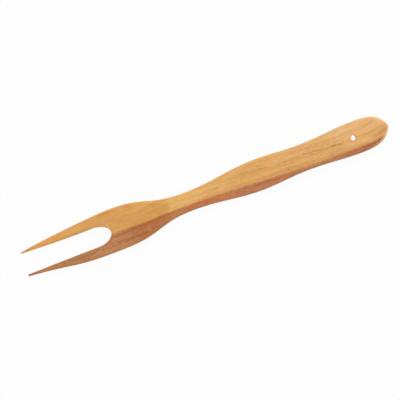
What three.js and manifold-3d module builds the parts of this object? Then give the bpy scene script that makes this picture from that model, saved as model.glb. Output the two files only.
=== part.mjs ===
import * as THREE from 'three';
import { mergeVertices } from 'three/addons/utils/BufferGeometryUtils.js';
import Module from 'manifold-3d';

// Wooden two-prong fork, carved from one flat piece of wood that is red-brown along one long side and pale
// elsewhere. Lengths are in millimetres. +X runs from the prong tips to the butt, +Y towards the pale prong,
// and +Z up from the flat underside, which lies at z = 0. The origin is under the middle of the fork.

// Lengths along the fork, between the places where its outline is widest or narrowest
const tipsToHead = 75;
const headToNeck = 61;
const neckToSwell = 58;
const swellToWaist = 36;
const waistToButt = 44;
const buttToEnd = 26;

// Widths at those places
const headWidth = 33;
const neckWidth = 15.25;
const swellWidth = 24.5;
const waistWidth = 21;
const buttWidth = 25.4;

// Prongs, and the slot between them
const tipSpacing = 18.1; // between the middles of the two tips
const paleTipWidth = 1.1;
const redTipWidth = 1.55;
const paleTipBack = 0.8; // how far the pale prong's tip stops short of the red one's
const noseLength = 1.2; // round nose at the end of each prong
const slotWidth = 14.8;
const slotDepth = 71.6; // from the tips to the slot's oval end
const slotEndLength = 12.7; // from where the slot's sides start to close in to its end
const slotOffset = 0.5; // how far the slot's end lies from the axis, towards the red prong

// Thicknesses, and the rounding of all long edges
const tipThickness = 2.2;
const headThickness = 8;
const swellThickness = 9.4;
const endThickness = 8.6;
const edgeRadius = 2.6;

// Hanging hole
const holeDiameter = 4;
const holeToEnd = 28.9; // from the hole's middle to the end of the butt
const holeOffset = 0.4; // from the axis, towards the pale prong's side

// Width of the red-brown wood at each place, from its own edge of the fork to the border of the two woods
const redAtHead = 13.85;
const redAtNeck = 4.95;
const redAtSwell = 6.8;
const redAtWaist = 3.15;
const redAtButt = 4.85;
const borderAtEnd = 4.5; // how far from the axis the border's line passes the fork's end
const woodGap = 0.3; // clearance between the two woods

const overrun = 5; // how far cutting shapes reach past the wood

// Where the handles of each smooth stretch of edge lie, as shares of its length and of its change in width
const paleProngShares = [[0.2, 0.45], [0.88, 1]];
const redProngShares = [[0.55, 0.59], [0.44, 1]];
const paleHeadShares = [[0.51, 0], [0.48, 1]];
const redHeadShares = [[0.55, 0], [0.54, 1]];
const slotSideShares = [[0.36, 0.5], [0.44, 1]];
const swellShares = [[0.39, 0], [0.61, 1]];
const waistShares = [[0.38, 0], [0.58, 1]];
const buttShares = [[0.41, 0], [0.64, 1]];
const endShares = [[0.46, 0], [0.81, 0.08]];
const spineShare = 0.6; // how far into the butt the line between the two sides runs
const thinShare = 0.42; // most that the rounding may take of the width or thickness where the wood is thin

// Counts of steps
const noseSteps = 3;
const slotSideSteps = 21;
const slotEndSteps = 8;
const prongSteps = slotSideSteps + slotEndSteps;
const stretchSteps = 12;
const roundingSteps = 4;
const faceColumns = 2;
const borderSteps = 90;
const holeSides = 32;

// Places along the fork, from the prong tips
const headPlace = tipsToHead;
const neckPlace = headPlace + headToNeck;
const swellPlace = neckPlace + neckToSwell;
const waistPlace = swellPlace + swellToWaist;
const buttPlace = waistPlace + waistToButt;
const forkLength = buttPlace + buttToEnd;

// Reach of the cutting shapes
const cutHalfWidth = Math.max(headWidth, neckWidth, swellWidth, waistWidth, buttWidth) / 2 + overrun;
const cutDepth = Math.max(tipThickness, headThickness, swellThickness, endThickness) + 2 * overrun;

const wasm = await Module();
wasm.setup();

// One smooth stretch from start to end, with its handles at shares of the way
function bend(start, end, [firstShares, secondShares]) {
  const step = end.clone().sub(start);
  const handle = ([along, across]) => new THREE.Vector2(start.x + step.x * along, start.y + step.y * across);
  return new THREE.CubicBezierCurve(start, handle(firstShares), handle(secondShares), end);
}

// Evenly spaced points along joined curves, each given with its count of steps
function trace(stretches) {
  const points = stretches.flatMap(([curve, steps]) => curve.getSpacedPoints(steps).slice(1));
  return [stretches[0][0].getPoint(0), ...points];
}

// Outer edge of one side from the tip of its prong to the end of the butt, with y away from the axis
function outerEdge({ tipPlace, tipWidth, prongShares, headShares }) {
  const noseEnd = tipPlace + noseLength;
  const nose = new THREE.EllipseCurve(
    noseEnd, tipSpacing / 2, noseLength, tipWidth / 2, Math.PI, Math.PI / 2, true);
  const tip = new THREE.Vector2(noseEnd, (tipSpacing + tipWidth) / 2);
  const head = new THREE.Vector2(headPlace, headWidth / 2);
  const neck = new THREE.Vector2(neckPlace, neckWidth / 2);
  const swell = new THREE.Vector2(swellPlace, swellWidth / 2);
  const waist = new THREE.Vector2(waistPlace, waistWidth / 2);
  const butt = new THREE.Vector2(buttPlace, buttWidth / 2);
  const end = new THREE.Vector2(forkLength, 0);
  return trace([
    [nose, noseSteps],
    [bend(tip, head, prongShares), prongSteps],
    [bend(head, neck, headShares), stretchSteps],
    [bend(neck, swell, swellShares), stretchSteps],
    [bend(swell, waist, waistShares), stretchSteps],
    [bend(waist, butt, buttShares), stretchSteps],
    [bend(butt, end, endShares), stretchSteps],
  ]);
}

// Edge of the slot from the tip of the same prong to the slot's end on the axis
function slotEdge({ tipPlace, tipWidth, slotShift }) {
  const noseEnd = tipPlace + noseLength;
  const nose = new THREE.EllipseCurve(
    noseEnd, tipSpacing / 2, noseLength, tipWidth / 2, Math.PI, 1.5 * Math.PI, false);
  const tip = new THREE.Vector2(noseEnd, (tipSpacing - tipWidth) / 2);
  const endStart = new THREE.Vector2(slotDepth - slotEndLength, slotWidth / 2 + slotShift);
  const end = new THREE.EllipseCurve(
    endStart.x, slotShift, slotEndLength, slotWidth / 2, Math.PI / 2, 0, true);
  return trace([
    [nose, noseSteps],
    [bend(tip, endStart, slotSideShares), slotSideSteps],
    [end, slotEndSteps],
  ]);
}

// Thickness of the fork at any place along it
function thicknessAt(place) {
  if (place < headPlace) {
    return THREE.MathUtils.lerp(tipThickness, headThickness, Math.sin(Math.PI / 2 * place / headPlace));
  }
  if (place < swellPlace) {
    const share = THREE.MathUtils.smoothstep(place, headPlace, swellPlace);
    return THREE.MathUtils.lerp(headThickness, swellThickness, share);
  }
  const share = THREE.MathUtils.smoothstep(place, swellPlace, forkLength);
  return THREE.MathUtils.lerp(swellThickness, endThickness, share);
}

// Directions into the wood at each point of an edge. turn is 1 where the wood lies left of the edge and -1
// where it lies right. The edge crosses the axis of its prong or of the fork square at both ends.
function inwardDirections(edge, turn, firstAcross, lastAcross) {
  return edge.map((point, k) => {
    const along = new THREE.Vector2(0, firstAcross);
    if (k === edge.length - 1) {
      along.set(0, lastAcross);
    } else if (k > 0) {
      along.subVectors(edge[k + 1], edge[k - 1]).normalize();
    }
    return new THREE.Vector2(-along.y * turn, along.x * turn);
  });
}

// Rails of a rounded edge, from the side wall to the face, each with its share of the rounding's height
function roundedRails(edge, inward, radii) {
  return Array.from({ length: roundingSteps + 1 }, (_, j) => {
    const angle = Math.PI / 2 * j / roundingSteps;
    const points = edge.map((point, k) => (
      point.clone().addScaledVector(inward[k], radii[k] * (1 - Math.cos(angle)))));
    return { points, heightShare: Math.sin(angle) };
  });
}

// Rail at full height between two others
function railBetween(first, second, share) {
  return { points: first.map((point, k) => point.clone().lerp(second[k], share)), heightShare: 1 };
}

// Rail in space on the upper or the lower face
function lift(rail, side, isUpper) {
  return rail.points.map((point) => {
    const thickness = thicknessAt(point.x);
    const radius = Math.min(edgeRadius, thickness * thinShare);
    const drop = radius * (1 - rail.heightShare);
    return new THREE.Vector3(point.x, point.y * side, isUpper ? thickness - drop : drop);
  });
}

// Triangles between neighbouring rails
function skin(rails, flipped) {
  const corners = [];
  for (let i = 0; i < rails.length - 1; i++) {
    for (let k = 0; k < rails[i].length - 1; k++) {
      const [a, b, c, d] = [rails[i][k], rails[i + 1][k], rails[i + 1][k + 1], rails[i][k + 1]];
      corners.push(...(flipped ? [a, c, b, a, d, c] : [a, b, c, a, c, d]));
    }
  }
  return corners;
}

// Line on the axis that the two sides share, from behind the slot's rounded edge to inside the butt
function spineLine() {
  const places = [slotDepth + edgeRadius, neckPlace, swellPlace, waistPlace, buttPlace];
  places.push(buttPlace + buttToEnd * spineShare);
  return places.slice(1).flatMap((place, i) => Array.from({ length: stretchSteps }, (_, k) => (
    new THREE.Vector2(THREE.MathUtils.lerp(places[i], place, (k + 1) / stretchSteps), 0))));
}

// Skin of one side of the fork, up to the axis
function sideSkin(side, prong) {
  const outer = outerEdge(prong);
  const slot = slotEdge(prong);
  const spine = spineLine();
  const radii = outer.map((point, k) => {
    const width = k < slot.length ? point.distanceTo(slot[k]) : 2 * point.distanceTo(spine[k - slot.length]);
    return Math.min(edgeRadius, Math.max(width, prong.tipWidth) * thinShare);
  });
  const outerRails = roundedRails(outer, inwardDirections(outer, -1, 1, -1), radii);
  const slotRails = roundedRails(slot, inwardDirections(slot, 1, -1, -1), radii);
  const faceStart = outerRails.at(-1).points;
  const faceEnd = [...slotRails.at(-1).points, ...spine];
  const columns = Array.from({ length: faceColumns }, (_, i) => (
    railBetween(faceStart, faceEnd, (i + 1) / faceColumns)));

  const faces = [true, false].flatMap((isUpper) => {
    const lifted = [...outerRails, ...columns].map((rail) => lift(rail, side, isUpper));
    const liftedSlot = slotRails.map((rail) => lift(rail, side, isUpper)).reverse();
    const flipped = (side < 0) === isUpper;
    return [...skin(lifted, flipped), ...skin(liftedSlot, flipped)];
  });
  const walls = [outerRails[0], slotRails[0]].flatMap((rail, i) => (
    skin([lift(rail, side, true), lift(rail, side, false)], (side > 0) === (i === 0))));
  return [...faces, ...walls];
}

// Closed solid from a geometry
function toSolid(geometry) {
  geometry.deleteAttribute('normal');
  geometry.deleteAttribute('uv');
  const merged = mergeVertices(geometry);
  const triangles = [];
  for (let i = 0; i < merged.index.count; i += 3) {
    const corners = [0, 1, 2].map((k) => merged.index.getX(i + k));
    if (new Set(corners).size === 3) {
      triangles.push(...corners);
    }
  }
  return new wasm.Manifold(new wasm.Mesh({
    numProp: 3,
    vertProperties: new Float32Array(merged.attributes.position.array),
    triVerts: new Uint32Array(triangles),
  }));
}

function makeFork() {
  const paleProng = {
    tipPlace: paleTipBack, tipWidth: paleTipWidth, slotShift: -slotOffset,
    prongShares: paleProngShares, headShares: paleHeadShares,
  };
  const redProng = {
    tipPlace: 0, tipWidth: redTipWidth, slotShift: slotOffset,
    prongShares: redProngShares, headShares: redHeadShares,
  };
  const corners = [...sideSkin(1, paleProng), ...sideSkin(-1, redProng)];
  return toSolid(new THREE.BufferGeometry().setFromPoints(corners));
}

function makeHole() {
  const drill = new THREE.CylinderGeometry(holeDiameter / 2, holeDiameter / 2, cutDepth, holeSides);
  drill.rotateX(Math.PI / 2);
  drill.translate(forkLength - holeToEnd, holeOffset, cutDepth / 2 - overrun);
  return toSolid(drill);
}

// Everything on one side of the border of the two woods, which is moved across by shift
function woodSide(side, shift) {
  const border = new THREE.SplineCurve([
    new THREE.Vector2(-overrun, redAtHead - headWidth / 2),
    new THREE.Vector2(headPlace, redAtHead - headWidth / 2),
    new THREE.Vector2(neckPlace, redAtNeck - neckWidth / 2),
    new THREE.Vector2(swellPlace, redAtSwell - swellWidth / 2),
    new THREE.Vector2(waistPlace, redAtWaist - waistWidth / 2),
    new THREE.Vector2(buttPlace, redAtButt - buttWidth / 2),
    new THREE.Vector2(forkLength + overrun, -borderAtEnd),
  ]);
  const outline = new THREE.Shape([
    ...border.getPoints(borderSteps).map((point) => new THREE.Vector2(point.x, point.y + shift)),
    new THREE.Vector2(forkLength + overrun, side * cutHalfWidth),
    new THREE.Vector2(-overrun, side * cutHalfWidth),
  ]);
  const block = new THREE.ExtrudeGeometry(outline, { depth: cutDepth, bevelEnabled: false });
  block.translate(0, 0, -overrun);
  return toSolid(block);
}

function toMesh(name, solid, material) {
  const { vertProperties, triVerts } = solid.getMesh();
  const geometry = new THREE.BufferGeometry();
  geometry.setAttribute('position', new THREE.Float32BufferAttribute(vertProperties, 3));
  geometry.setIndex([...triVerts]);
  geometry.computeVertexNormals();
  const mesh = new THREE.Mesh(geometry, material);
  mesh.name = name;
  return mesh;
}

const paleWood = new THREE.MeshStandardMaterial({ color: 0xdda866, roughness: 0.5, metalness: 0 });
const redWood = new THREE.MeshStandardMaterial({ color: 0xb47a4c, roughness: 0.5, metalness: 0 });

const fork = makeFork();
const drilledFork = fork.subtract(makeHole());
const model = new THREE.Group();
model.add(
  toMesh('sapwood', drilledFork.intersect(woodSide(1, 0)), paleWood),
  toMesh('heartwood', drilledFork.intersect(woodSide(-1, -woodGap)), redWood),
);
model.position.x = -forkLength / 2;

export default model;
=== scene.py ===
import math

import bmesh
import bpy
import numpy as np
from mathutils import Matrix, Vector, noise
from mathutils.kdtree import KDTree


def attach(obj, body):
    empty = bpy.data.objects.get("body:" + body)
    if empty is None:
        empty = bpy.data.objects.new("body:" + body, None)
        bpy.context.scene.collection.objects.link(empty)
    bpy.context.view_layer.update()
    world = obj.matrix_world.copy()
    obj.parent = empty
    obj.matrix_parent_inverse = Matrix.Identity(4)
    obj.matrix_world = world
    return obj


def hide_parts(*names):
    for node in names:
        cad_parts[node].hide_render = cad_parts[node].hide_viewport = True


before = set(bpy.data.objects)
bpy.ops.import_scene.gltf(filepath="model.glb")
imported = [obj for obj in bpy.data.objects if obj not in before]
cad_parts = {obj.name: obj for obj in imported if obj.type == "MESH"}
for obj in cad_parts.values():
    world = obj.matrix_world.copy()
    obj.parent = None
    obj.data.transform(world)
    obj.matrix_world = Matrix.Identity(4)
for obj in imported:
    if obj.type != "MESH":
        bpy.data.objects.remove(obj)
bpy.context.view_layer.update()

mm = 0.001

# The fork's plan, in millimetres: +X runs from the prong tips to the butt, +Y towards the pale prong
forkSize = {
    "tipsToHead": 75, "headToNeck": 61, "neckToSwell": 58,
    "swellToWaist": 36, "waistToButt": 44, "buttToEnd": 26,
    "headWidth": 33, "neckWidth": 15.25, "swellWidth": 24.5, "waistWidth": 21, "buttWidth": 25.4,
    "tipSpacing": 18.1, "paleTipWidth": 1.1, "redTipWidth": 1.55, "paleTipBack": 0.8, "noseLength": 1.2,
    "slotWidth": 14.8, "slotDepth": 71.6, "slotEndLength": 12.7, "slotOffset": 0.5,
    "tipThickness": 2.2, "headThickness": 8, "swellThickness": 9.4, "endThickness": 8.6,
    "edgeRadius": 2.6,
    "thinShare": 0.42,  # most that the rounding takes of a thin place
    "turnReach": 1.2,   # how far each way the rounding turns with the edge, in its own radii
}

# Handles of each smooth stretch of edge, as shares of its length and of its change in width
bendShares = {
    "paleProng": [(0.2, 0.45), (0.88, 1)],
    "redProng": [(0.55, 0.59), (0.44, 1)],
    "paleHead": [(0.51, 0), (0.48, 1)],
    "redHead": [(0.55, 0), (0.54, 1)],
    "slot": [(0.36, 0.5), (0.44, 1)],
    "swell": [(0.39, 0), (0.61, 1)],
    "waist": [(0.38, 0), (0.58, 1)],
    "butt": [(0.41, 0), (0.64, 1)],
    "end": [(0.46, 0), (0.81, 0.08)],
}

# What the hand left on it: soft edges, a low crown and shallow unevenness, all taken off the outline
handWork = {
    "crownShare": 0.035,    # how much lower the face is at its edges, as a share of the thickness
    "crownReach": 9,        # mm from the edge to where the crown is full
    "edgeWander": 0.03,     # mm
    "faceWander": 0.09,     # mm
    "wanderLength": 22,     # mm
    "edgeSeed": 3.1, "faceSeed": 7.7,
}

hangingHole = {"x": 121.1, "y": 0.4, "diameter": 4, "wornRim": 0.4, "landing": 1.6}

# Width of the red-brown wood at each place, from its own edge to the border of the two woods
redWidth = {"head": 13.85, "neck": 4.95, "swell": 6.8, "waist": 3.15, "butt": 4.85}
borderPastEnd = {"past": 5, "y": -4.5}

# How finely each stretch is drawn
steps = {
    "nose": 5, "slotSide": 66, "slotEnd": 34, "neck": 62, "swell": 56, "waist": 36, "butt": 44,
    "buttTip": 30, "underButt": 14, "rounding": 8, "paleFace": 12, "redFace": 6, "wall": 4, "loops": 5,
    "curve": 240, "arc": 160, "border": 60, "halvings": 50,
}
pastHead = {"pale": 8, "red": 3}  # mm past the head's widest place, level with the slot's end
steps["prong"] = steps["slotSide"] + steps["slotEnd"]
steps["end"] = steps["buttTip"] + steps["underButt"]

halfLength = sum(forkSize[name] for name in (
    "tipsToHead", "headToNeck", "neckToSwell", "swellToWaist", "waistToButt", "buttToEnd")) / 2
places = {"tips": -halfLength}
for name, length, before in [("head", "tipsToHead", "tips"), ("neck", "headToNeck", "head"),
                             ("swell", "neckToSwell", "neck"), ("waist", "swellToWaist", "swell"),
                             ("butt", "waistToButt", "waist"), ("end", "buttToEnd", "butt")]:
    places[name] = places[before] + forkSize[length]


def bend(start, end, shares):
    start, end = np.array(start, float), np.array(end, float)
    first, second = [start + (end - start) * np.array(share) for share in shares]
    t = np.linspace(0, 1, steps["curve"])[:, None]
    return ((1 - t) ** 3 * start + 3 * (1 - t) ** 2 * t * first
            + 3 * (1 - t) * t ** 2 * second + t ** 3 * end)


def ovalArc(centre, reach, fromAngle, toAngle):
    angle = np.radians(np.linspace(fromAngle, toAngle, steps["arc"]))
    return np.column_stack([centre[0] + reach[0] * np.cos(angle), centre[1] + reach[1] * np.sin(angle)])


# Middle and half width of the round nose of each prong
def noseOf(wood):
    back = forkSize["paleTipBack"] if wood == "pale" else 0
    middle = np.array([places["tips"] + back + forkSize["noseLength"], forkSize["tipSpacing"] / 2])
    return middle, forkSize[wood + "TipWidth"] / 2


# One side's stretches of edge from the prong tip to the end of the butt, with y away from the axis
def outerStretches(wood):
    size = forkSize
    noseCentre, halfTip = noseOf(wood)
    tip = noseCentre + np.array([0, halfTip])
    corners = {name: (places[name], size[name + "Width"] / 2)
               for name in ("head", "neck", "swell", "waist", "butt")}
    noseReach = (size["noseLength"], halfTip)
    return [
        ovalArc(noseCentre, noseReach, 180, 90),
        bend(tip, corners["head"], bendShares[wood + "Prong"]),
        bend(corners["head"], corners["neck"], bendShares[wood + "Head"]),
        bend(corners["neck"], corners["swell"], bendShares["swell"]),
        bend(corners["swell"], corners["waist"], bendShares["waist"]),
        bend(corners["waist"], corners["butt"], bendShares["butt"]),
        bend(corners["butt"], (places["end"], 0), bendShares["end"]),
    ]


# The same side's stretches of the slot, from the prong tip to the slot's end
def slotStretches(wood):
    size = forkSize
    shift = size["slotOffset"] * (-1 if wood == "pale" else 1)
    noseCentre, halfTip = noseOf(wood)
    tip = noseCentre - np.array([0, halfTip])
    noseReach = (size["noseLength"], halfTip)
    endStart = (places["tips"] + size["slotDepth"] - size["slotEndLength"], size["slotWidth"] / 2 + shift)
    endReach = (size["slotEndLength"], size["slotWidth"] / 2)
    return [
        ovalArc(noseCentre, noseReach, 180, 270),
        bend(tip, endStart, bendShares["slot"]),
        ovalArc((endStart[0], shift), endReach, 90, 0),
    ]


def mirrored(stretches):
    return [stretch * np.array([1, -1]) for stretch in stretches]


def backwards(stretches):
    return [stretch[::-1] for stretch in reversed(stretches)]


# The whole edge as one closed line: pale side, butt, red side, red prong's slot side, pale prong's
edgeStretches = (
    outerStretches("pale")
    + backwards(mirrored(outerStretches("red")))
    + mirrored(slotStretches("red"))
    + backwards(slotStretches("pale"))
)
edgeJoints = [
    "paleTip", "paleNose", "paleHead", "paleNeck", "paleSwell", "paleWaist", "paleButt",
    "buttTip", "redButt", "redWaist", "redSwell", "redNeck", "redHead", "redNose",
    "redTip", "redSlotNose", "redSlotEnd", "slotApex", "paleSlotEnd", "paleSlotNose", "paleTipAgain",
]
edgeLine = np.vstack([edgeStretches[0][:1]] + [stretch[1:] for stretch in edgeStretches])
edgeGaps = np.diff(edgeLine, axis=0)
gapLengths = np.linalg.norm(edgeGaps, axis=1)
edgeRun = np.concatenate([[0], np.cumsum(gapLengths)])
edgeLength = edgeRun[-1]
jointRows = np.cumsum([0] + [len(stretch) - 1 for stretch in edgeStretches])
runTo = {name: edgeRun[row] for name, row in zip(edgeJoints, jointRows)}

# Summed directions into the wood, whose differences give the mean direction over any stretch
inwardSums = np.vstack([[0, 0], np.cumsum(np.column_stack([edgeGaps[:, 1], -edgeGaps[:, 0]]), axis=0)])


def alongLine(run, values):
    turns = np.floor(run / edgeLength)
    within = run - turns * edgeLength
    return np.column_stack([
        np.interp(within, edgeRun, values[:, axis]) + turns * (values[-1, axis] - values[0, axis])
        for axis in (0, 1)])


# Mean direction into the wood over a stretch a little longer than the rounding, so no corner folds
def intoWood(run, radius):
    reach = forkSize["turnReach"] * radius
    summed = alongLine(run + reach, inwardSums) - alongLine(run - reach, inwardSums)
    return summed / np.linalg.norm(summed, axis=1)[:, None]


def wander(points, seed):
    length = handWork["wanderLength"]
    return np.array([0.5 + 0.5 * noise.noise(Vector((x / length, y / length, seed))) for x, y in points])


# Points on the edge, taken in a little where the hand cut deeper
def onEdge(run, radius):
    points = alongLine(run, edgeLine)
    share = np.minimum(radius / forkSize["edgeRadius"], 1)
    depth = handWork["edgeWander"] * wander(points, handWork["edgeSeed"]) * share
    return points + intoWood(run, radius) * depth[:, None]


# The border of the two woods, a smooth line through its widths
def splineThrough(knots):
    knots = np.array(knots, float)
    line = [knots[:1]]
    for i in range(len(knots) - 1):
        p0, p1, p2 = knots[max(i - 1, 0)], knots[i], knots[i + 1]
        p3 = knots[min(i + 2, len(knots) - 1)]
        t = np.linspace(0, 1, steps["border"] + 1)[1:, None]
        v0, v1 = (p2 - p0) / 2, (p3 - p1) / 2
        line.append((2 * p1 - 2 * p2 + v0 + v1) * t ** 3
                    + (-3 * p1 + 3 * p2 - 2 * v0 - v1) * t ** 2 + v0 * t + p1)
    return np.vstack(line)


borderKnots = [(places["tips"] - borderPastEnd["past"], redWidth["head"] - forkSize["headWidth"] / 2)]
borderKnots += [(places[name], width - forkSize[name + "Width"] / 2) for name, width in redWidth.items()]
borderKnots.append((places["end"] + borderPastEnd["past"], borderPastEnd["y"]))
borderLine = splineThrough(borderKnots)


def borderAt(x):
    return np.interp(x, borderLine[:, 0], borderLine[:, 1])


# The rounded edge's inner line, where the face starts
def innerPoint(run):
    run, radius = np.array([run]), np.array([forkSize["edgeRadius"]])
    return (onEdge(run, radius) + radius * intoWood(run, radius))[0]


# Where that inner line meets the border, between two places on the edge
def borderMeeting(low, high):
    def overBorder(run):
        x, y = innerPoint(run)
        return y - borderAt(x)

    lowIsOver = overBorder(low) > 0
    for _ in range(steps["halvings"]):
        middle = (low + high) / 2
        if (overBorder(middle) > 0) == lowIsOver:
            low = middle
        else:
            high = middle
    return (low + high) / 2


slotMeeting = borderMeeting(runTo["redSlotEnd"], runTo["slotApex"])
buttMeeting = borderMeeting(runTo["buttTip"], runTo["redButt"])


def stationRuns(stops):
    runs = [[stops[0]]]
    for start, (end, count) in zip([stops[0]] + [stop for stop, _ in stops[1:-1]], stops[1:]):
        runs.append(np.linspace(start, end, count + 1)[1:])
    return np.concatenate(runs)


handleSteps = [steps["neck"], steps["swell"], steps["waist"], steps["butt"]]
outerRuns = {
    "pale": stationRuns([
        runTo["paleTip"], (runTo["paleNose"], steps["nose"]),
        (runTo["paleHead"] + pastHead["pale"], steps["prong"]),
        *zip([runTo["paleNeck"], runTo["paleSwell"], runTo["paleWaist"], runTo["paleButt"]], handleSteps),
        (runTo["buttTip"], steps["buttTip"]), (buttMeeting, steps["underButt"])]),
    "red": stationRuns([
        runTo["redTip"], (runTo["redNose"], steps["nose"]),
        (runTo["redHead"] - pastHead["red"], steps["prong"]),
        *zip([runTo["redNeck"], runTo["redSwell"], runTo["redWaist"], runTo["redButt"]], handleSteps),
        (buttMeeting, steps["end"])]),
}
slotRuns = {
    "pale": stationRuns([
        runTo["paleTipAgain"], (runTo["paleSlotNose"], steps["nose"]),
        (runTo["paleSlotEnd"], steps["slotSide"]), (slotMeeting, steps["slotEnd"])]),
    "red": stationRuns([
        runTo["redTip"], (runTo["redSlotNose"], steps["nose"]),
        (runTo["redSlotEnd"], steps["slotSide"]), (slotMeeting, steps["slotEnd"])]),
}


def smoothShare(value, low, high):
    t = np.clip((value - low) / (high - low), 0, 1)
    return t * t * (3 - 2 * t)


def thicknessAt(x):
    size = forkSize
    prongShare = np.sin(math.pi / 2 * np.clip((x - places["tips"]) / size["tipsToHead"], 0, 1))
    toSwell = smoothShare(x, places["head"], places["swell"])
    toEnd = smoothShare(x, places["swell"], places["end"])
    return (size["tipThickness"] + (size["headThickness"] - size["tipThickness"]) * prongShare
            + (size["swellThickness"] - size["headThickness"]) * toSwell
            + (size["endThickness"] - size["swellThickness"]) * toEnd)


edgeTree = KDTree(len(edgeLine))
for index, (x, y) in enumerate(edgeLine):
    edgeTree.insert((x, y, 0), index)
edgeTree.balance()


def distanceToEdge(points):
    return np.array([edgeTree.find((x, y, 0))[2] for x, y in points])


# Points of the plan lifted to the upper or lower skin. heightShare is 0 on the side wall and 1 on the face.
def lift(points, heightShare, isUpper):
    thickness = thicknessAt(points[:, 0])
    drop = np.minimum(forkSize["edgeRadius"], thickness * forkSize["thinShare"]) * (1 - heightShare)
    if not isUpper:
        return np.column_stack([points, drop])
    crown = handWork["crownShare"] * thickness
    crown *= 1 - smoothShare(distanceToEdge(points), 0, handWork["crownReach"])
    worn = handWork["faceWander"] * wander(points, handWork["faceSeed"])
    worn = worn * thickness / forkSize["swellThickness"]
    return np.column_stack([points, thickness - crown - worn - drop])


roundAngles = np.linspace(0, math.pi / 2, steps["rounding"] + 1)


def roundedRails(run, radius):
    points, inward = onEdge(run, radius), intoWood(run, radius)
    return [(points + inward * (radius * (1 - math.cos(angle)))[:, None], math.sin(angle))
            for angle in roundAngles]


# All the plan lines of one wood: its rounded outer edge, its face and the rounded edge of its slot
def woodRails(wood):
    slotCount = len(slotRuns[wood])
    stretchEnds = [places["neck"], places["swell"], places["waist"], places["butt"]]
    bySlot, byButt = innerPoint(slotMeeting), innerPoint(buttMeeting)
    borderX = stationRuns([bySlot[0], *zip(stretchEnds, handleSteps), (byButt[0], steps["end"])])[1:]
    border = np.column_stack([borderX, borderAt(borderX)])
    border[-1] = byButt

    roughOuter = alongLine(outerRuns[wood], edgeLine)
    across = np.vstack([alongLine(slotRuns[wood], edgeLine), border])
    width = np.linalg.norm(roughOuter - across, axis=1)
    thin = forkSize["thinShare"] * np.maximum(width, forkSize[wood + "TipWidth"])
    thin[slotCount:] = forkSize["edgeRadius"]
    radius = np.minimum(forkSize["edgeRadius"], thin)

    outer = roundedRails(outerRuns[wood], radius)
    slot = roundedRails(slotRuns[wood], radius[:slotCount])
    faceStart = outer[-1][0]
    faceEnd = np.vstack([slot[-1][0], border])
    count = steps[wood + "Face"]
    face = [(faceStart + (faceEnd - faceStart) * (i / count), 1.0) for i in range(count + 1)]
    return {"outer": outer, "face": face, "slot": slot, "border": border}


def addSheet(shell, rows, woodIndex, skipped=()):
    corners = [[shell.verts.new(point) for point in row] for row in rows]
    for i in range(len(rows) - 1):
        for k in range(len(rows[i]) - 1):
            if (i, k) not in skipped:
                face = shell.faces.new((corners[i][k], corners[i + 1][k],
                                        corners[i + 1][k + 1], corners[i][k + 1]))
                face.material_index = woodIndex
                face.smooth = True


# Cells of the face round the hanging hole, as the first and last row and station
def cellsRoundHole(face):
    rows = np.array([points for points, _ in face])
    centres = (rows[:-1, :-1] + rows[1:, :-1] + rows[1:, 1:] + rows[:-1, 1:]) / 4
    fromHole = np.linalg.norm(centres - np.array([hangingHole["x"], hangingHole["y"]]), axis=2)
    near = np.argwhere(fromHole < hangingHole["diameter"] / 2 + hangingHole["landing"])
    return near.min(axis=0), near.max(axis=0) + 1


# Rings of points from the square of cells that was left out in to the hole, and down its worn rim
def holeRings(face, low, high, isUpper):
    rows = np.array([points for points, _ in face])
    (i0, k0), (i1, k1) = low, high
    square = np.vstack([rows[i0, k0:k1], rows[i0:i1, k1], rows[i1, k1:k0:-1], rows[i1:i0:-1, k0]])
    centre = np.array([hangingHole["x"], hangingHole["y"]])
    outward = (square - centre) / np.linalg.norm(square - centre, axis=1)[:, None]
    radius, rim = hangingHole["diameter"] / 2, hangingHole["wornRim"]
    rings = [lift(square + (centre + outward * (radius + rim) - square) * share, 1.0, isUpper)
             for share in np.linspace(0, 1, steps["loops"])]
    for angle in roundAngles[1:]:
        ring = lift(centre + outward * (radius + rim * (1 - math.sin(angle))), 1.0, isUpper)
        ring[:, 2] += rim * (1 - math.cos(angle)) * (-1 if isUpper else 1)
        rings.append(ring)
    return [np.vstack([ring, ring[:1]]) for ring in rings]


def betweenRows(upper, lower, count):
    return [upper + (lower - upper) * (i / count) for i in range(count + 1)]


print("drawing the outline")
woods = ["pale", "red"]
rails = {wood: woodRails(wood) for wood in woods}
holeLow, holeHigh = cellsRoundHole(rails["pale"]["face"])
holeCells = {(i, k) for i in range(holeLow[0], holeHigh[0]) for k in range(holeLow[1], holeHigh[1])}

print("raising the skin of the fork")
shell = bmesh.new()
for woodIndex, wood in enumerate(woods):
    for isUpper in (True, False):
        for name in ("outer", "face", "slot"):
            rows = [lift(points, share, isUpper) for points, share in rails[wood][name]]
            addSheet(shell, rows, woodIndex, holeCells if (wood, name) == ("pale", "face") else ())
    for name in ("outer", "slot"):
        points, share = rails[wood][name][0]
        addSheet(shell, betweenRows(lift(points, share, True), lift(points, share, False), steps["wall"]),
                 woodIndex)
upperRings, lowerRings = [holeRings(rails["pale"]["face"], holeLow, holeHigh, isUpper)
                          for isUpper in (True, False)]
addSheet(shell, upperRings, 0)
addSheet(shell, lowerRings, 0)
addSheet(shell, betweenRows(upperRings[-1], lowerRings[-1], steps["wall"] * 2), 0)
weldReach = 0.0005  # mm
bmesh.ops.remove_doubles(shell, verts=shell.verts, dist=weldReach)
bmesh.ops.recalc_face_normals(shell, faces=shell.faces)
shell.normal_update()
openEdges = sum(1 for edge in shell.edges if len(edge.link_faces) != 2)
print(f"whole fork: {len(shell.faces)} faces, {openEdges} open edges")

wholeNormals = [vertex.normal.copy() for vertex in shell.verts]
skinTree = KDTree(len(shell.verts))
for index, vertex in enumerate(shell.verts):
    skinTree.insert(vertex.co, index)
skinTree.balance()

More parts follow.
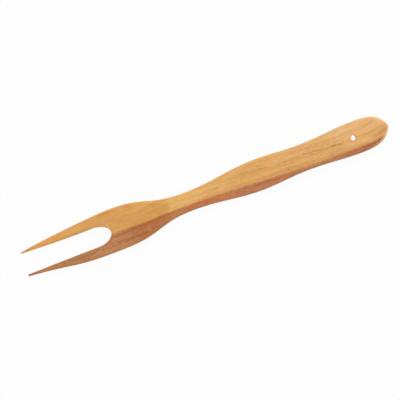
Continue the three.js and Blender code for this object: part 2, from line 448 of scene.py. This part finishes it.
# The inside face that both woods share, from the slot along the border to the butt
seamPlan = [(points[-1], share) for points, share in rails["red"]["slot"]]
seamPlan += [(point, 1.0) for point in rails["red"]["border"]]
seamPlan += [(points[-1], share) for points, share in reversed(rails["red"]["outer"][:-1])]
seamPoints = np.array([point for point, _ in seamPlan])
seamShares = np.array([share for _, share in seamPlan])
seamTop, seamFoot = [lift(seamPoints, seamShares, isUpper) for isUpper in (True, False)]
seamRows = betweenRows(seamTop, seamFoot, steps["wall"])


def makeWood(woodIndex, name, nodeName, material):
    piece = shell.copy()
    bmesh.ops.delete(piece, geom=[face for face in piece.faces if face.material_index != woodIndex],
                     context="FACES")
    skinFaces = len(piece.faces)
    addSheet(piece, seamRows, woodIndex)
    piece.faces.ensure_lookup_table()
    for face in piece.faces[skinFaces:]:
        face.smooth = False
    bmesh.ops.remove_doubles(piece, verts=piece.verts, dist=weldReach)
    bmesh.ops.recalc_face_normals(piece, faces=piece.faces)
    if piece.calc_volume(signed=True) < 0:
        bmesh.ops.reverse_faces(piece, faces=piece.faces)
    openEdges = sum(1 for edge in piece.edges if len(edge.link_faces) != 2)
    print(f"{name}: {len(piece.faces)} faces, {openEdges} open edges, {piece.calc_volume():.0f} mm3")
    for face in piece.faces:
        face.material_index = 0

    mesh = bpy.data.meshes.new(name)
    piece.to_mesh(mesh)
    piece.free()
    # the outer skin is shaded as one, so that no seam shows where the woods meet
    corners = [Vector() for _ in mesh.loops]
    for polygon in mesh.polygons:
        if polygon.use_smooth:
            for loop in polygon.loop_indices:
                nearest = skinTree.find(mesh.vertices[mesh.loops[loop].vertex_index].co)[1]
                corners[loop] = wholeNormals[nearest]
    mesh.normals_split_custom_set(corners)

    plan = np.array([vertex.co.xy for vertex in mesh.vertices])
    for attributeName, values in (("fromBorder", plan[:, 1] - borderAt(plan[:, 0])),
                                  ("fromEdge", distanceToEdge(plan))):
        attribute = mesh.attributes.new(attributeName, "FLOAT", "POINT")
        attribute.data.foreach_set("value", values.astype(np.float32))
    for vertex in mesh.vertices:
        vertex.co *= mm
    mesh.materials.append(material)
    wood = bpy.data.objects.new(name, mesh)
    bpy.context.scene.collection.objects.link(wood)
    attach(wood, "root")
    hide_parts(nodeName)


# A node's output that can stand in sums: each sum on it adds a Math node
class Wire:
    def __init__(self, board, socket):
        self.board = board
        self.socket = socket

    def math(self, operation, first, second=None):
        values = [first] if second is None else [first, second]
        return self.board.add("ShaderNodeMath", {"operation": operation}, values)

    def __add__(self, other):
        return self.math("ADD", self, other)

    def __sub__(self, other):
        return self.math("SUBTRACT", self, other)

    def __rsub__(self, other):
        return self.math("SUBTRACT", other, self)

    def __mul__(self, other):
        return self.math("MULTIPLY", self, other)

    def __truediv__(self, other):
        return self.math("DIVIDE", self, other)

    def __abs__(self):
        return self.math("ABSOLUTE", self)

    def orMore(self, other):
        return self.math("MAXIMUM", self, other)

    __radd__ = __add__
    __rmul__ = __mul__


class NodeBoard:
    def __init__(self, tree):
        self.tree = tree
        tree.nodes.clear()

    # settings are made first, then the sockets by name or, in a list, by order
    def add(self, kind, settings=None, sockets=None, output=0):
        node = self.tree.nodes.new(kind)
        for setting, value in (settings or {}).items():
            if setting == "stops":
                self.setStops(node.color_ramp, value)
            else:
                setattr(node, setting, value)
        usable = [socket for socket in node.inputs if socket.enabled]
        if isinstance(sockets, dict):
            pairs = [(next(s for s in usable if s.name == name), value) for name, value in sockets.items()]
        else:
            pairs = zip(usable, sockets or [])
        for socket, value in pairs:
            if isinstance(value, Wire):
                self.tree.links.new(value.socket, socket)
            else:
                socket.default_value = value
        outputs = [socket for socket in node.outputs if socket.enabled]
        if not outputs:
            return node
        if isinstance(output, str):
            return Wire(self, next(socket for socket in outputs if socket.name == output))
        return Wire(self, outputs[output])

    def setStops(self, ramp, stops):
        while len(ramp.elements) < len(stops):
            ramp.elements.new(1)
        for element, (place, colour) in zip(ramp.elements, stops):
            element.position = place
            element.color = colour

    def smooth(self, value, low, high):
        return self.add("ShaderNodeMapRange", {"interpolation_type": "SMOOTHSTEP"},
                        {"Value": value, "From Min": low, "From Max": high})

    def mix(self, factor, first, second):
        return self.add("ShaderNodeMix", {"data_type": "RGBA"}, {"Factor": factor, "A": first, "B": second})

    def vector(self, x, y, z):
        return self.add("ShaderNodeCombineXYZ", None, [x, y, z])

    def noise(self, place, detail, roughness=0.5):
        return self.add("ShaderNodeTexNoise", None, {
            "Vector": place, "Scale": 1, "Detail": detail, "Roughness": roughness}, "Fac")


def colour(red, green, blue):
    shares = [value / 255 for value in (red, green, blue)]
    return (*[s / 12.92 if s <= 0.04045 else ((s + 0.055) / 1.055) ** 2.4 for s in shares], 1)


# Tones of the two woods and of the ring between them along the fork, by millimetres from its middle
paleTones = {
    -150: colour(172, 132, 102), -147: colour(206, 144, 96), -145: colour(208, 126, 70),
    -143: colour(206, 148, 58), -141: colour(214, 152, 70), -137: colour(234, 168, 90),
    -118: colour(226, 164, 84), -95: colour(223, 164, 88),
    -75: colour(224, 165, 84), -55: colour(220, 160, 73), -32: colour(220, 161, 72),
    -28.5: colour(236, 185, 102), -14: colour(238, 188, 107), 8: colour(230, 176, 96),
    30: colour(227, 169, 88), 48: colour(229, 173, 97), 70: colour(230, 175, 102),
    95: colour(226, 172, 102), 115: colour(234, 183, 114), 135: colour(237, 185, 120),
    150: colour(234, 180, 114),
}
redTones = {
    -150: colour(92, 94, 74), -148: colour(104, 98, 64), -145: colour(146, 94, 44),
    -142: colour(170, 106, 46), -138: colour(192, 126, 66), -130: colour(190, 130, 76),
    -112: colour(184, 130, 72), -95: colour(192, 130, 74), -75: colour(200, 132, 76),
    -57: colour(180, 106, 40), -48: colour(184, 110, 48), -38: colour(178, 104, 38),
    -29: colour(214, 136, 78), -18: colour(216, 124, 70), -6: colour(204, 114, 60),
    10: colour(202, 124, 72), 30: colour(200, 126, 76), 50: colour(198, 122, 76),
    84: colour(206, 144, 84), 105: colour(199, 130, 79), 125: colour(195, 123, 75),
    150: colour(184, 113, 70),
}
ringTones = {
    -80: colour(160, 82, 44), -60: colour(150, 76, 20), -34: colour(156, 76, 20), -14: colour(170, 88, 36),
    12: colour(190, 114, 62), 44: colour(160, 88, 66), 64: colour(164, 92, 58), 84: colour(184, 116, 70),
    108: colour(180, 108, 66), 128: colour(156, 80, 44), 150: colour(156, 80, 44),
}

# Each size of figure in the wood: its length and width in millimetres, the detail of its noise, and how
# far along the noise it starts, so that no two figures fall on each other
figureSizes = {
    "bands": (90, 3.2, 1, 0), "streaks": (44, 0.9, 3, 5.2), "flecks": (2.8, 1.1, 1, 3.3),
    "blushes": (3.6, 1.3, 1, 11.7), "fibres": (7, 0.28, 2, 9.1), "pores": (1.3, 0.11, 0, 2.7),
    "clouds": (30, 8, 1, 6.4),
}

# The noise that each figure is made from, and the values at which it starts and is at its full
figureCuts = {
    "band": ("bands", 0.42, 0.66),
    "darkStreak": ("streaks", 0.5, 0.7), "lightStreak": ("streaks", 0.5, 0.32),
    "darkFleck": ("flecks", 0.5, 0.7), "lightFleck": ("flecks", 0.5, 0.3),
    "blush": ("blushes", 0.5, 0.7), "olive": ("blushes", 0.5, 0.3),
    "warmCloud": ("clouds", 0.5, 0.7), "coolCloud": ("clouds", 0.5, 0.3),
}

grainLook = {
    "roughness": 0.55,    # of the figures' noises
    "quietShare": 0.5,    # how much of the pale wood's streaks and flecks shows in the head and the butt
    "fibreCut": 0.36, "poreCut": (0.7, 0.82),
}

# How the tone goes over from one wood to the other, in millimetres
borderLook = {
    "soft": 0.75,         # each side over which one wood fades into the other
    "neckSoft": 0.45,     # more of it round the neck
    "ragged": 1.2,        # how far the streaks carry one wood into the other
    "rise": 0.25,         # how far the tone's border lies above the seam
    "buttSink": 0.65,     # how far it sinks again round the butt
    "headSink": 0.4,      # and in the head, behind the slot
    "swellRise": 0.3,     # how far it rises at the handle's swell
    "lean": 0.12,         # sideways for each millimetre that the rings go down through the wood
    "wave": (46, 14),     # length and width of the rings' slow wave
    "warmReach": (4.2, 0.6), "warmGap": 0.5,    # the warmer pale wood beside the border
    "ringDepth": 1.8, "slotRingDepth": 0.85, "ringReach": (1.3, 0.2),
}

# The rims, with painted highlight on the rounded edges that look up, on the slot's side and round the butt,
# and a band of another tone a little in from the edge: distances from the fork's edge in millimetres, where
# each starts and is at its full
rimLook = {
    "facing": (-0.15, 0.4), "reach": (1.1, 0.1), "headShare": 0.6, "handleMore": 0.55,
    "underRim": 1.6, "underReach": (1.1, 0.3),
    "slotReach": (1.9, 0.2), "slotAcross": (10.5, 8.5), "buttReach": (2.2, 0.4),
}

# Where along the fork each look starts and is at its full, in millimetres from the fork's middle
fadePlaces = {
    "buttSink": (120, 136), "pastTips": (-149, -134), "handleRims": (-60, 20), "underRim": (110, -10),
    "handleStart": (-40, 20), "handleEnd": (130, 95), "warmBorder": (-45, 10), "slotEnd": (-68, -76),
    "slotProng": (-124, -90), "slotRing": (-50, -66), "buttRimHighlight": (120, 143),
}

# The same on both sides of a middle: the middle, and how far from it each look starts and is full
middlePlaces = {
    "headSink": (-48, 16, 4), "swellRise": (35, 16, 4), "softNeck": (8, 32, 10), "warmGap": (57, 14, 4),
}

woodFinish = {
    "roughness": 0.44, "fibreRoughness": 0.25, "poreRoughness": 0.15, "specular": 0.35,
    "bumpStrength": 0.35, "bumpDepth": 0.00012, "fibreHeight": 0.7, "streakHeight": 0.5, "poreDepth": 0.8,
}

# What each figure tints the two woods with, and how strongly
tints = {
    "pale": {
        "band": (colour(204, 146, 72), 0.5),
        "darkStreak": (colour(192, 130, 46), 0.4), "lightStreak": (colour(244, 198, 144), 0.34),
        "darkFleck": (colour(192, 134, 40), 0.2), "lightFleck": (colour(250, 206, 172), 0.24),
        "blush": (colour(238, 152, 104), 0.3), "olive": (colour(210, 172, 76), 0.32),
        "warmCloud": (colour(214, 150, 82), 0.38), "coolCloud": (colour(238, 186, 108), 0.38),
        # rim is painted highlight on the rounded edges that look up
        "rim": (colour(252, 216, 152), 0.4), "underRim": (colour(240, 162, 56), 0.45),
    },
    "red": {
        "band": (colour(160, 98, 56), 0.4),
        "darkStreak": (colour(134, 76, 32), 0.44), "lightStreak": (colour(212, 152, 110), 0.46),
        "darkFleck": (colour(138, 82, 34), 0.38), "lightFleck": (colour(216, 156, 124), 0.36),
        "blush": (colour(206, 104, 84), 0.34), "olive": (colour(172, 122, 44), 0.36),
        "warmCloud": (colour(202, 102, 52), 0.26), "coolCloud": (colour(180, 136, 88), 0.26),
        # rim is painted highlight on the rounded edges that look up
        "rim": (colour(214, 172, 112), 0.22), "underRim": (colour(176, 133, 72), 0.3),
    },
    "byBorder": (colour(205, 130, 60), 0.26),
    "slotRim": (colour(252, 214, 160), 0.45),
    "ring": 0.34,
    "fibre": (colour(150, 96, 52), 0.86),
    "pore": (colour(126, 78, 46), 0.22),
    # painted highlight on the butt's rounded rim
    "buttRimHighlight": (colour(255, 192, 130), 0.5),
}

# Rings in the red-brown head: three points (x, y) on each, where it starts and stops and its width,
# all in millimetres, its strength and its tone
headRings = [
    {"through": ((-79, -4.9), (-64, -4.9), (-52, -4.6)), "from": -81, "to": -50, "width": 0.9,
     "strength": 0.36, "tone": colour(142, 72, 38)},
    {"through": ((-62, -4.2), (-44, -3.9), (-26, -3.7)), "from": -58, "to": -22, "width": 1.2,
     "strength": 0.3, "tone": colour(146, 70, 18)},
    {"through": ((-78, -10.1), (-62, -10.3), (-50, -10.9)), "from": -80, "to": -46, "width": 1.1,
     "strength": 0.42, "tone": colour(122, 82, 42)},
    {"through": ((-100, -12.8), (-75, -13.3), (-58, -13.4)), "from": -104, "to": -56, "width": 2.4,
     "strength": 0.3, "tone": colour(194, 146, 96)},
]

# Single marks near the upper face. Place along and across, half length and half width in millimetres,
# slope, then strength and tone
woodMarks = [
    # the dark line along the handle
    (38, 4.2, 15, 1.0, -0.09, 0.3, colour(190, 128, 36)),
    (48.5, 3.15, 9, 0.85, -0.13, 0.6, colour(188, 120, 14)),
    (63, 2.1, 11, 0.6, -0.04, 0.42, colour(180, 120, 36)),
    (72, 1.65, 7, 0.65, -0.03, 0.42, colour(176, 114, 30)),
    (88, 1.45, 14, 1.0, -0.07, 0.42, colour(180, 124, 40)),
    (81.8, 2.1, 1.8, 0.9, -0.2, 0.45, colour(172, 114, 44)),
    (98.5, 0.3, 6, 1.2, -0.1, 0.3, colour(182, 122, 56)),
    (105, 0.3, 3.6, 1.3, -0.18, 0.56, colour(164, 100, 28)),
    (109.8, -0.9, 3.8, 1.05, -0.2, 0.42, colour(172, 110, 48)),
    # specks below it
    (61, -1.85, 1.3, 0.7, 0, 0.42, colour(140, 100, 92)),
    (60, -3.65, 2.6, 0.7, -0.05, 0.4, colour(176, 120, 36)),
    (66.2, -4.4, 2, 0.6, -0.05, 0.5, colour(160, 108, 36)),
    (46.8, -2.8, 1.8, 0.7, -0.1, 0.5, colour(172, 104, 30)),
    (86.5, -5.2, 2.2, 1.1, -0.1, 0.35, colour(180, 112, 56)),
    (100.5, -5.8, 3, 1.2, -0.05, 0.4, colour(180, 124, 66)),
    (-96, -10.8, 1.6, 0.7, 0, 0.5, colour(106, 84, 80)),
    # warmer wood beside the border at the swell, and in the head
    (34, -2.9, 17, 1.7, -0.08, 0.4, colour(212, 142, 42)),
    (-71, 8.5, 15, 5.5, 0, 0.3, colour(222, 146, 74)),
    (-103, 14, 16, 1.4, 0.07, 0.3, colour(176, 136, 88)),
    (-104, 8, 18, 0.8, -0.03, 0.35, colour(180, 128, 62)),
    (-57, -1.2, 14, 2.2, 0, 0.28, colour(206, 140, 54)),
    (-77.5, 14.5, 8.5, 1.4, -0.02, 0.6, colour(208, 116, 36)),
    (-60.5, 13.5, 4.5, 1.0, -0.1, 0.5, colour(206, 116, 52)),
    (-49.5, 10.2, 9, 0.7, -0.25, 0.3, colour(186, 156, 106)),
    # lighter and darker parts of the pale wood
    (112, 8.2, 27, 4.6, 0, 0.4, colour(246, 200, 146)),
    (107, -4.2, 13, 2.4, 0, 0.42, colour(202, 142, 80)),
    (-6, 3.9, 15, 2.4, 0, 0.4, colour(246, 198, 126)),
    (27, 9.2, 15, 1.6, 0.07, 0.34, colour(242, 192, 132)),
    (20, -1.7, 9, 2.0, -0.05, 0.3, colour(206, 148, 78)),
    (-78, 12.8, 12, 2.0, 0, 0.3, colour(206, 140, 76)),
    (-112, 11.6, 12, 1.6, 0.06, 0.3, colour(198, 138, 72)),
    (57, -2.2, 9, 2.4, -0.05, 0.3, colour(236, 186, 124)),
    # the slot's end catches light on its pale side
    (-79.6, 2.4, 2.6, 5.2, 0, 0.56, colour(248, 214, 152)),
    # dark streaks in the red-brown prong
    (-107, -10.8, 14, 0.9, -0.02, 0.55, colour(134, 70, 30)),
    (-121, -9.8, 10, 0.9, -0.04, 0.42, colour(134, 72, 34)),
    (-110, -11.4, 10, 1.8, -0.06, 0.4, colour(166, 120, 56)),
    (-98, -13, 18, 1.2, -0.06, 0.22, colour(206, 146, 92)),
    # redder and mauve places in the red-brown strip
    (-15, -5.1, 9, 1.0, -0.02, 0.3, colour(206, 74, 66)),
    (-24, -6.9, 12, 0.8, 0.1, 0.35, colour(150, 116, 36)),
    (-44, -5.8, 20, 3.4, 0.05, 0.38, colour(184, 86, 26)),
    (2, -5.6, 8, 1.0, -0.04, 0.26, colour(196, 76, 34)),
    (20, -6.0, 9, 1.1, -0.08, 0.24, colour(206, 92, 72)),
    (45, -7.0, 12, 1.4, -0.09, 0.42, colour(158, 92, 84)),
    (54.5, -8.8, 5.5, 1.1, -0.02, 0.34, colour(196, 74, 56)),
    (21, -8.9, 12, 0.9, -0.12, 0.3, colour(196, 124, 50)),
    (40, -9.7, 9, 1.2, -0.06, 0.3, colour(214, 140, 84)),
    (-98, -8.7, 9, 0.7, 0, 0.4, colour(212, 146, 98)),
    # dark lower rim of the handle: painted shade along its lower rounded edge
    (32, -11.2, 22, 0.9, -0.07, 0.36, colour(112, 84, 78)),
    (86, -10.3, 24, 0.9, -0.01, 0.34, colour(120, 84, 88)),
    (127, -11.5, 12, 1.6, 0.06, 0.5, colour(132, 70, 84)),
    (113, -10.4, 9, 1.4, -0.06, 0.35, colour(134, 84, 76)),
    (67, -9.8, 7, 1.3, 0.04, 0.3, colour(128, 84, 80)),
    # round the butt; the light marks along its end and its lower rim are painted highlight on the rounded
    # edge
    (131.5, -9.3, 9, 1.6, 0.05, 0.42, colour(142, 66, 22)),
    (139.2, -8.0, 2.5, 0.85, 0.45, 0.55, colour(88, 34, 26)),
    (141, -8.9, 3.6, 1.1, 0.5, 0.45, colour(236, 170, 124)),
    (144.6, -2.1, 5, 2.5, 0.14, 0.5, colour(176, 112, 50)),
    (139.8, -3.8, 6.5, 2.0, 0.1, 0.5, colour(192, 130, 56)),
    (146.9, -4.3, 4.2, 1.2, 1.1, 0.55, colour(255, 192, 138)),
    (144.1, -7.1, 2.6, 1.1, 0.9, 0.66, colour(252, 206, 168)),
    (134, -3.2, 7, 2.2, 0, 0.3, colour(228, 160, 84)),
    (143, 6.5, 9, 4.5, -0.25, 0.18, colour(246, 202, 158)),
    # painted shade on the hanging hole's right rim
    (124.6, 0.2, 1.5, 1.2, 0, 0.5, colour(230, 140, 66)),
]
markLook = {"height": 9, "depth": 7, "core": 0.2, "wobble": 1.1, "wobbleLength": 2.6}
ringLook = {"core": 0.15, "ends": 0.25, "wobble": 0.3}  # shares of each ring's width, length and wave


def quadraticThrough(points):
    rows = [[1, x, x * x] for x, _ in points]
    return [float(value) for value in np.linalg.solve(rows, [y for _, y in points])]


def woodMaterial(name):
    material = bpy.data.materials.new(name)
    material.use_nodes = True
    board = NodeBoard(material.node_tree)

    place = board.add("ShaderNodeTexCoord", None, None, "Object")
    inMm = board.add("ShaderNodeVectorMath", {"operation": "SCALE"}, {"Vector": place, "Scale": 1 / mm})
    x, y, z = [board.add("ShaderNodeSeparateXYZ", None, [inMm], axis) for axis in "XYZ"]
    fromBorder = board.add("ShaderNodeAttribute", {"attribute_name": "fromBorder"}, None, "Fac")
    fromEdge = board.add("ShaderNodeAttribute", {"attribute_name": "fromEdge"}, None, "Fac")

    def fade(name):
        return board.smooth(x, *fadePlaces[name])

    def around(name):
        middle, outer, inner = middlePlaces[name]
        return board.smooth(abs(x - middle), outer, inner)

    # depth across the rings, with a slow wave in it
    waveLength, waveWidth = borderLook["wave"]
    wave = board.noise(board.vector(x / waveLength, y / waveWidth, z / waveWidth), 1) - 0.5
    lean = (forkSize["headThickness"] - z) * borderLook["lean"]
    sink = (fade("buttSink") * borderLook["buttSink"] - borderLook["rise"]
            + around("headSink") * borderLook["headSink"] - around("swellRise") * borderLook["swellRise"])
    ring = fromBorder - lean + sink + wave

    noises = {}
    for figure, (length, width, detail, begin) in figureSizes.items():
        where = board.vector(x / length + begin, ring / width, z / width)
        noises[figure] = board.noise(where, detail, grainLook["roughness"])
    fibres, streaks = noises["fibres"], noises["streaks"]
    pores = board.smooth(noises["pores"], *grainLook["poreCut"])

    def tinted(wood, mask, tint):
        tone, strength = tint
        return board.mix(mask * strength, wood, tone)

    # painted highlight on the rounded edges, only where the surface looks up, and not on the thin tips
    facing = board.add("ShaderNodeNewGeometry", None, None, "Normal")
    upward = board.smooth(board.add("ShaderNodeSeparateXYZ", None, [facing], "Z"), *rimLook["facing"])
    rimHighlightShare = rimLook["headShare"] + fade("handleRims") * rimLook["handleMore"]
    figures = {name: board.smooth(noises[source], low, high)
               for name, (source, low, high) in figureCuts.items()}
    underRim = board.smooth(abs(fromEdge - rimLook["underRim"]), *rimLook["underReach"])
    figures["underRim"] = underRim * fade("underRim")
    figures["rim"] = board.smooth(fromEdge, *rimLook["reach"]) * upward * fade("pastTips") * rimHighlightShare

    along = (x + halfLength) / (2 * halfLength)

    def toneAlong(tones):
        stops = [((at + halfLength) / (2 * halfLength), tone) for at, tone in tones.items()]
        return board.add("ShaderNodeValToRGB", {"stops": stops}, [along], "Color")

    def figured(wood, kind, streakShare):
        for name, mask in figures.items():
            if "Streak" in name or "Fleck" in name:
                mask = mask * streakShare
            wood = tinted(wood, mask, tints[kind][name])
        return wood

    # the pale wood's streaks and flecks are fainter in the head and the butt
    quiet = grainLook["quietShare"]
    inHandle = fade("handleStart") * fade("handleEnd")
    pale = figured(toneAlong(paleTones), "pale", quiet + inHandle * (1 - quiet))
    byBorder = board.smooth(ring, *borderLook["warmReach"]) * fade("warmBorder")
    byBorder = byBorder * (1 - around("warmGap") * borderLook["warmGap"])
    pale = tinted(pale, byBorder, tints["byBorder"])
    # the pale prong's inner edge catches light from the gap
    slotSide = board.smooth(fromEdge, *rimLook["slotReach"]) * board.smooth(y, *rimLook["slotAcross"])
    slotSide = slotSide * fade("slotEnd") * fade("slotProng")
    pale = tinted(pale, slotSide * upward, tints["slotRim"])

    red = figured(toneAlong(redTones), "red", 1)
    soft = borderLook["soft"] + around("softNeck") * borderLook["neckSoft"]
    isPale = board.smooth((ring + (streaks - 0.5) * borderLook["ragged"]) / soft, -1, 1)
    wood = board.mix(isPale, red, pale)
    # the last red-brown ring lies darker against the pale wood, and further from it by the slot
    ringDepth = borderLook["ringDepth"] + fade("slotRing") * borderLook["slotRingDepth"]
    lastRing = board.smooth(abs(ring + ringDepth), *borderLook["ringReach"])
    wood = board.mix(lastRing * tints["ring"], wood, toneAlong(ringTones))

    for mark in headRings:
        c0, c1, c2 = quadraticThrough(mark["through"])
        off = abs(y - (x * (x * c2 + c1) + c0) + wave * ringLook["wobble"])
        ease = (mark["to"] - mark["from"]) * ringLook["ends"]
        reach = (board.smooth(x, mark["from"], mark["from"] + ease)
                 * board.smooth(x, mark["to"], mark["to"] - ease))
        mask = board.smooth(off, mark["width"], mark["width"] * ringLook["core"]) * reach
        wood = board.mix(mask * mark["strength"], wood, mark["tone"])

    # the marks' outlines wobble a little
    wobble = board.add("ShaderNodeTexNoise", None, {
        "Vector": inMm, "Scale": 1 / markLook["wobbleLength"], "Detail": 1}, "Color")
    sway = markLook["wobble"]
    swayed = board.add("ShaderNodeVectorMath", {"operation": "MULTIPLY_ADD"},
                       [wobble, (sway, sway, 0), inMm])
    for atX, atY, halfLong, halfWide, slope, strength, tone in woodMarks:
        inMark = board.add("ShaderNodeMapping", {"vector_type": "TEXTURE"}, {
            "Vector": swayed, "Location": (atX + sway / 2, atY + sway / 2, markLook["height"]),
            "Rotation": (0, 0, math.atan(slope)), "Scale": (halfLong, halfWide, markLook["depth"])})
        reach = board.add("ShaderNodeVectorMath", {"operation": "LENGTH"}, [inMark], "Value")
        wood = board.mix(board.smooth(reach, 1, markLook["core"]) * strength, wood, tone)

    wood = tinted(wood, fibres - grainLook["fibreCut"], tints["fibre"])
    wood = tinted(wood, pores, tints["pore"])
    # painted highlight on the butt's rounded rim, where it looks up
    buttRimHighlight = board.smooth(fromEdge, *rimLook["buttReach"]) * fade("buttRimHighlight") * upward
    wood = tinted(wood, buttRimHighlight, tints["buttRimHighlight"])

    finish = woodFinish
    height = (fibres * finish["fibreHeight"] + streaks * finish["streakHeight"]
              - pores * finish["poreDepth"])
    relief = board.add("ShaderNodeBump", None, {
        "Strength": finish["bumpStrength"], "Distance": finish["bumpDepth"], "Height": height})
    surface = board.add("ShaderNodeBsdfPrincipled", None, {
        "Base Color": wood,
        "Roughness": (finish["roughness"] + (fibres - 0.5) * finish["fibreRoughness"]
                      + pores * finish["poreRoughness"]),
        "Specular IOR Level": finish["specular"],
        "Normal": relief,
    })
    board.add("ShaderNodeOutputMaterial", None, {"Surface": surface})
    return material


print("finishing the wood")
oiledWood = woodMaterial("oiledFruitWood")
makeWood(0, "pale_wood", "sapwood", oiledWood)
makeWood(1, "red_wood", "heartwood", oiledWood)
shell.free()


# The floor lies a hair below the fork, so that the two faces never share a plane
floorLook = {"halfSize": 3.0, "height": -0.00005, "tone": 0.8, "whiteShare": 0.94}


def makeFloor():
    half, height = floorLook["halfSize"], floorLook["height"]
    corners = [(x, y, height) for x, y in ((-half, -half), (half, -half), (half, half), (-half, half))]
    mesh = bpy.data.meshes.new("floor")
    mesh.from_pydata(corners, [], [(0, 1, 2, 3)])
    material = bpy.data.materials.new("whiteFloor")
    material.use_nodes = True
    board = NodeBoard(material.node_tree)
    rays = [board.add("ShaderNodeLightPath", None, None, name)
            for name in ("Is Camera Ray", "Is Glossy Ray", "Is Transmission Ray")]
    seen = rays[0].orMore(rays[1]).orMore(rays[2])
    tone = floorLook["tone"]
    matt = board.add("ShaderNodeBsdfDiffuse", None, {"Color": (tone, tone, tone, 1)})
    white = board.add("ShaderNodeEmission", None, {"Color": (1, 1, 1, 1), "Strength": 1})
    surface = board.add("ShaderNodeMixShader", None, [seen * floorLook["whiteShare"], matt, white])
    board.add("ShaderNodeOutputMaterial", None, {"Surface": surface})
    mesh.materials.append(material)
    floor = bpy.data.objects.new("floor", mesh)
    bpy.context.scene.collection.objects.link(floor)


lampLook = {
    "skyStrength": 0.86,
    "keyPlace": (0.72, 0.84, 1.0), "keySize": 0.8, "keyPower": 5.5,
}


def makeLight():
    world = bpy.data.worlds.new("studio")
    bpy.context.scene.world = world
    world.use_nodes = True
    board = NodeBoard(world.node_tree)
    seen = board.add("ShaderNodeLightPath", None, None, "Is Camera Ray")
    strength = seen * (1 - lampLook["skyStrength"]) + lampLook["skyStrength"]
    sky = board.add("ShaderNodeBackground", None, {"Color": (1, 1, 1, 1), "Strength": strength})
    board.add("ShaderNodeOutputWorld", None, {"Surface": sky})

    lamp = bpy.data.lights.new("softLamp", "AREA")
    lamp.shape = "DISK"
    lamp.size = lampLook["keySize"]
    lamp.energy = lampLook["keyPower"]
    key = bpy.data.objects.new("softLamp", lamp)
    key.location = lampLook["keyPlace"]
    key.rotation_euler = Vector(lampLook["keyPlace"]).to_track_quat("Z", "Y").to_euler()
    bpy.context.scene.collection.objects.link(key)


# Straight down on the fork, turned as it lies in the picture
cameraLook = {
    "lens": 300, "sensor": 36,
    "pictureWidth": 0.3072,  # metres of fork across the picture
    "middle": (-0.00578, -0.00203, 0.0045),
    "turn": -20.99,          # degrees
}


def makeCamera():
    camera = bpy.data.cameras.new("camera")
    camera.lens = cameraLook["lens"]
    camera.sensor_width = cameraLook["sensor"]
    holder = bpy.data.objects.new("camera", camera)
    x, y, z = cameraLook["middle"]
    height = cameraLook["pictureWidth"] * cameraLook["lens"] / cameraLook["sensor"]
    holder.location = (x, y, z + height)
    holder.rotation_euler = (0, 0, math.radians(cameraLook["turn"]))
    bpy.context.scene.collection.objects.link(holder)
    bpy.context.scene.camera = holder


print("setting the floor, the light and the camera")
makeFloor()
makeLight()
makeCamera()
bpy.context.scene.view_settings.view_transform = "Standard"
